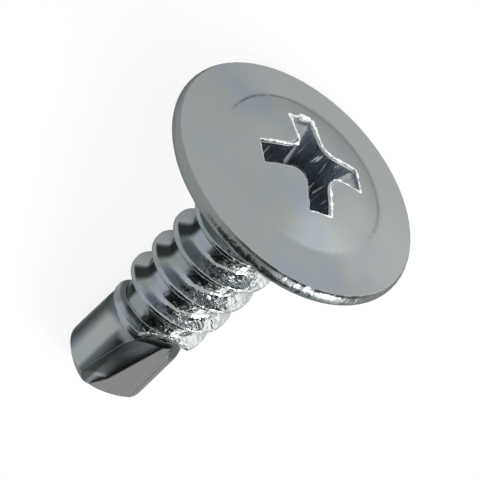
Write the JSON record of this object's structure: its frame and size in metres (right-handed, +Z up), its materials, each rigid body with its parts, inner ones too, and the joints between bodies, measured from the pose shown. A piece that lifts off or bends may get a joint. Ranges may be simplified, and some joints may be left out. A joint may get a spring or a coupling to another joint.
{
  "type": "wafer head self drilling screw",
  "caption": "Short sheet metal screw with a wide thin domed head, a cross recess, a coarse thread and a forged drill point, lying on its side.",
  "frame": {"origin": "centre of the footprint of the screw's box, on the surface it lies on", "axes": "+Z up, +X along the surface towards the head; the screw's own axis leaves the point and rises 18.7 degrees towards +X, and it lies on the head's rim and on the two edges of a flute"},
  "size_m": [0.0146, 0.0106, 0.0101],
  "materials": {
    "zinc_plated_steel": "bright zinc plating over hardened carbon steel, satin on the head and brighter on the rolled thread"
  },
  "bodies": {
    "root": {"screw": "zinc_plated_steel"}
  },
  "joints": []
}
